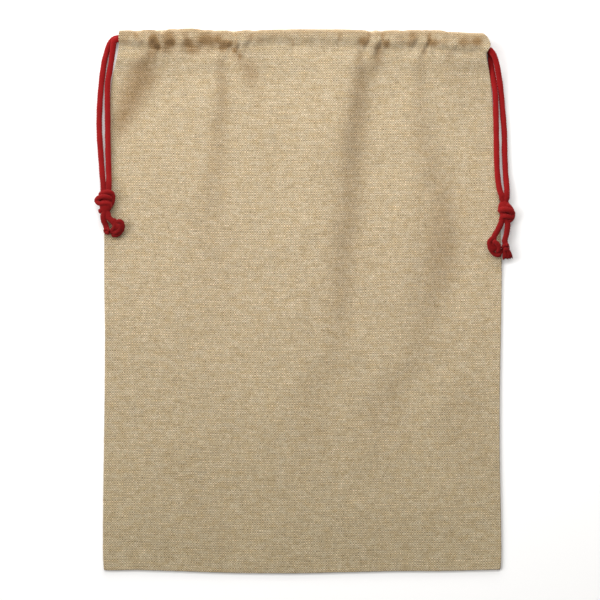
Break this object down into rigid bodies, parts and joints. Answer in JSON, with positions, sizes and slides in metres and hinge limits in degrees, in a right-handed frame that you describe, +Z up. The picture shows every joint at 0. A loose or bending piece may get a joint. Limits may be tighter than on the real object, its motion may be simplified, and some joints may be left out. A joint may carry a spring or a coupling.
{
  "type": "burlap drawstring sack",
  "caption": "Flat sack of coarse plain-woven cloth lying on its back, its mouth open a little, with a stitched casing and red drawcords knotted at the sides.",
  "frame": {"origin": "on the surface that the sack lies on, under the middle of the cloth; the free cord ends and knots are not counted", "axes": "+Y towards the mouth, +X to the right of the front panel, +Z up, out of the front panel"},
  "size_m": [0.5278, 0.681, 0.028],
  "materials": {
    "cloth": "coarse plain weave with slubs, matt, natural beige",
    "cord": "soft twisted cotton cord, matt, deep red"
  },
  "bodies": {
    "root": {"front_panel": "cloth", "back_panel": "cloth", "front_cord": "cord", "back_cord": "cord", "left_front_strand": "cord", "left_back_strand": "cord", "right_front_strand": "cord", "right_back_strand": "cord", "left_long_tail": "cord", "left_short_tail": "cord", "right_long_tail": "cord", "right_short_tail": "cord", "left_knot": "cord", "right_knot": "cord", "left_long_end_knot": "cord", "left_short_end_knot": "cord", "right_long_end_knot": "cord", "right_short_end_knot": "cord", "right_frayed_end": "cord"}
  },
  "joints": []
}
